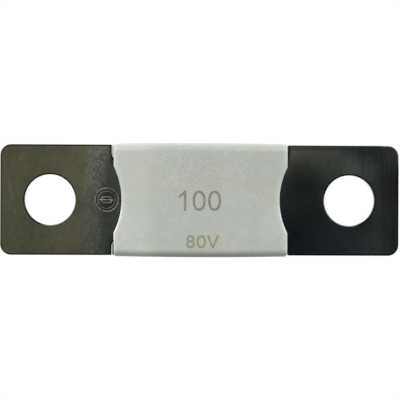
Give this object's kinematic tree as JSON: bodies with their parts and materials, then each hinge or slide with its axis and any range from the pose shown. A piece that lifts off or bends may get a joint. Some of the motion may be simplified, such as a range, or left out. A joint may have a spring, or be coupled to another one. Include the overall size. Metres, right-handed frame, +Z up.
{
  "type": "bolt down strip fuse",
  "caption": "Flat strip fuse with a stud hole in each metal terminal and a two-part moulded body closed round a meandering fuse link.",
  "frame": {"origin": "midway between the two stud holes, on the underside of the terminals", "axes": "+X along the strip from one stud hole to the other, +Y across the strip, +Z up through the terminals"},
  "size_m": [0.068, 0.0194, 0.0101],
  "materials": {
    "plated_strip": "tin-plated copper alloy strip, satin, with fine rolling grain across the terminals",
    "tin": "bright tin alloy, riveted",
    "cover_plastic": "light grey-green filled thermoplastic, fine eroded texture"
  },
  "bodies": {
    "root": {"fuse_strip": "plated_strip", "tin_pellet": "tin", "upper_cover": "cover_plastic", "lower_cover": "cover_plastic"}
  },
  "joints": []
}
